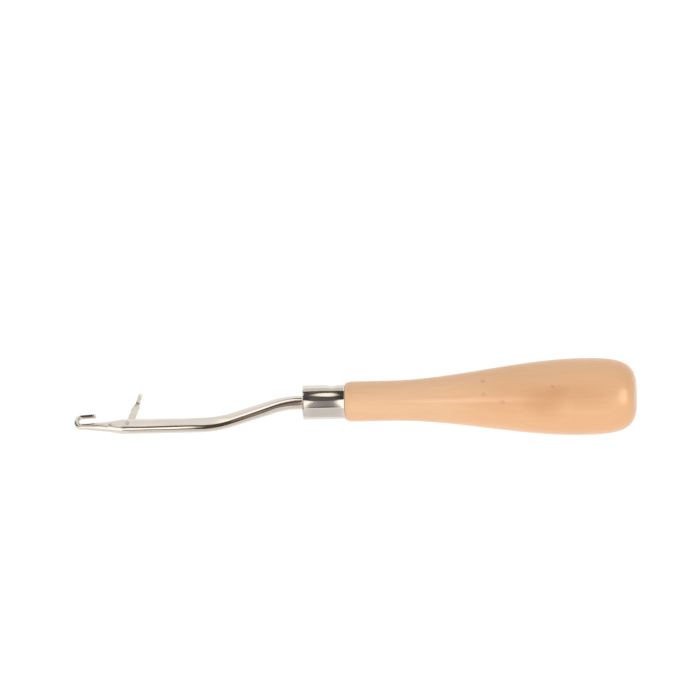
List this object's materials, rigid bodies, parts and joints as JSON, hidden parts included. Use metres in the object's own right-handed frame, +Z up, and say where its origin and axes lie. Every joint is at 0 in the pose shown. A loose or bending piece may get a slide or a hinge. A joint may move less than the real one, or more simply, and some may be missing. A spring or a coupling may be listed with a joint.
{
  "type": "bent latch hook",
  "caption": "Hand tool for knotting yarn through canvas: a bent steel shaft with a small hook and a swinging latch, in a turned wooden handle with a metal ferrule.",
  "frame": {"origin": "on the table that the tool lies on, under the middle of its length and width", "axes": "+X from the hook towards the handle's butt, +Y towards the side on which the latch opens, +Z up from the table"},
  "size_m": [0.1642, 0.0224, 0.023],
  "materials": {
    "varnished_wood": "pale close-grained wood, turned smooth and clear varnished",
    "ferrule_plate": "bright plated",
    "bright_steel": "bright plated and polished",
    "rivet_steel": "bare, ground flush with the cheeks",
    "latch_steel": "bright plated stamping, satin"
  },
  "bodies": {
    "hook": {"handle": "varnished_wood", "ferrule": "ferrule_plate", "hook_shaft": "bright_steel", "latch_rivet": "rivet_steel"},
    "latch": {"latch": "latch_steel"}
  },
  "joints": [
    {"name": "latch_pivot", "type": "hinge", "parent": "hook", "child": "latch", "pos_m": [-0.06635, -0.005, 0.00212], "axis": [-0.0764, 0.1651, 0.9833], "range_deg": [-48, 93]}
  ]
}
